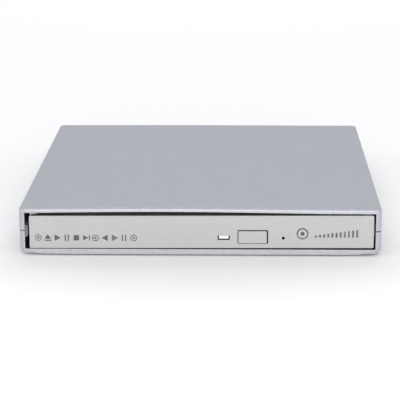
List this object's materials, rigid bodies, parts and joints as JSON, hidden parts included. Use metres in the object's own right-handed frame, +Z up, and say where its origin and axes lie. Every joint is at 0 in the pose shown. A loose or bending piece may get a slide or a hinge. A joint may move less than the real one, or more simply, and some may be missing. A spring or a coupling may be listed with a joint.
{
  "type": "external optical drive",
  "caption": "Slim external optical drive: a silver two-part casing round a tray-loading drive with sliding tray, eject button, spindle and pickup.",
  "frame": {"origin": "centre of the footprint, on the surface that the feet stand on", "axes": "+X right seen from the front, +Y to the rear, +Z up; the tray slides out along -Y"},
  "size_m": [0.137, 0.142, 0.0185],
  "materials": {
    "silver_paint": "silver metallic paint with a fine flake, satin",
    "black_plastic": "moulded black plastic, fine texture",
    "grey_plastic": "moulded dark grey plastic",
    "zinc_steel": "zinc-plated sheet steel",
    "bright_steel": "bright machined or plated steel",
    "black_steel": "black coated sheet steel",
    "rubber": "black rubber, matt",
    "circuit_board": "green solder resist over fibreglass board",
    "chip_black": "moulded chip package",
    "amber_film": "amber flexible circuit film",
    "clear_plastic": "clear moulded plastic",
    "copper": "enamelled copper winding",
    "lens_glass": "coated lens"
  },
  "bodies": {
    "case": {"bottom_cover": "silver_paint", "top_cover": "silver_paint", "foot_front_left": "rubber", "foot_front_right": "rubber", "foot_rear_left": "rubber", "foot_rear_right": "rubber", "case_screw_left": "black_steel", "case_screw_right": "black_steel", "inlet_board": "circuit_board", "inlet_chip": "chip_black", "usb_socket": "bright_steel", "power_jack": "black_plastic", "jack_pin": "bright_steel", "drive_plug": "black_plastic", "drive_pan": "zinc_steel", "drive_lid": "zinc_steel", "lid_screw_left": "bright_steel", "lid_screw_right": "bright_steel", "rail_guide_left": "black_plastic", "rail_guide_right": "black_plastic", "connector_board": "circuit_board", "rear_socket": "black_plastic", "latch_post": "bright_steel", "flex_ribbon": "amber_film"},
    "rail_left": {"slide_rail_left": "zinc_steel"},
    "rail_right": {"slide_rail_right": "zinc_steel"},
    "tray": {"tray": "black_plastic", "bezel": "silver_paint", "light_window": "clear_plastic", "activity_lamp": "clear_plastic", "eject_switch": "black_plastic", "tray_board": "circuit_board", "controller_chip": "chip_black", "ribbon_socket": "grey_plastic", "tray_shield": "zinc_steel", "deck_cover": "black_steel", "solenoid": "copper", "latch_spring": "bright_steel", "traverse_frame": "zinc_steel", "damper_inner_left": "rubber", "damper_inner_right": "rubber", "damper_outer": "rubber", "main_rod": "bright_steel", "sub_rod": "bright_steel", "sled_motor": "bright_steel", "spindle_base": "zinc_steel", "spindle_stator": "copper"},
    "eject_button": {"eject_button": "silver_paint"},
    "spindle": {"spindle_rotor": "bright_steel", "turntable": "black_plastic", "disc_pad": "rubber", "disc_hub": "grey_plastic"},
    "pickup": {"pickup_carriage": "grey_plastic", "lead_nut": "clear_plastic"},
    "lens": {"lens_holder": "black_plastic", "lens": "lens_glass"},
    "lead_screw": {"lead_screw": "bright_steel"},
    "latch": {"latch_lever": "grey_plastic"}
  },
  "joints": [
    {"name": "tray_slide", "type": "slide", "parent": "case", "child": "tray", "axis": [0, -1, 0], "range_m": [0, 0.128], "deforming": ["flex_ribbon"]},
    {"name": "rail_left_slide", "type": "slide", "parent": "case", "child": "rail_left", "axis": [0, -1, 0], "range_m": [0, 0.064]},
    {"name": "rail_right_slide", "type": "slide", "parent": "case", "child": "rail_right", "axis": [0, -1, 0], "range_m": [0, 0.064]},
    {"name": "eject_button_press", "type": "slide", "parent": "tray", "child": "eject_button", "axis": [0, 1, 0], "range_m": [0, 0.0005], "stiffness_N_per_m": 600, "springref_m": -0.0005},
    {"name": "spindle_spin", "type": "hinge", "parent": "tray", "child": "spindle", "pos_m": [0, -0.006, 0.01], "axis": [0, 0, 1], "continuous": true},
    {"name": "pickup_slide", "type": "slide", "parent": "tray", "child": "pickup", "axis": [-0.7071, -0.7071, 0], "range_m": [0, 0.035]},
    {"name": "lead_screw_turn", "type": "hinge", "parent": "tray", "child": "lead_screw", "pos_m": [-0.03783, -0.0106, 0.0075], "axis": [-0.7071, -0.7071, 0], "range_deg": [-5, 4210]},
    {"name": "lens_focus", "type": "slide", "parent": "pickup", "child": "lens", "axis": [0, 0, 1], "range_m": [-0.0005, 0.0005], "stiffness_N_per_m": 60},
    {"name": "latch_swing", "type": "hinge", "parent": "tray", "child": "latch", "pos_m": [0.027, -0.052, 0.0067], "axis": [0, 0, 1], "range_deg": [0, 16], "stiffness_Nm_per_rad": 0.003, "springref_deg": -11.46}
  ],
  "couplings": [
    {"joint": "rail_left_slide", "follows": "tray_slide", "ratio": 0.5},
    {"joint": "rail_right_slide", "follows": "tray_slide", "ratio": 0.5},
    {"joint": "lead_screw_turn", "follows": "pickup_slide", "rad_per_m": 2094.4}
  ]
}
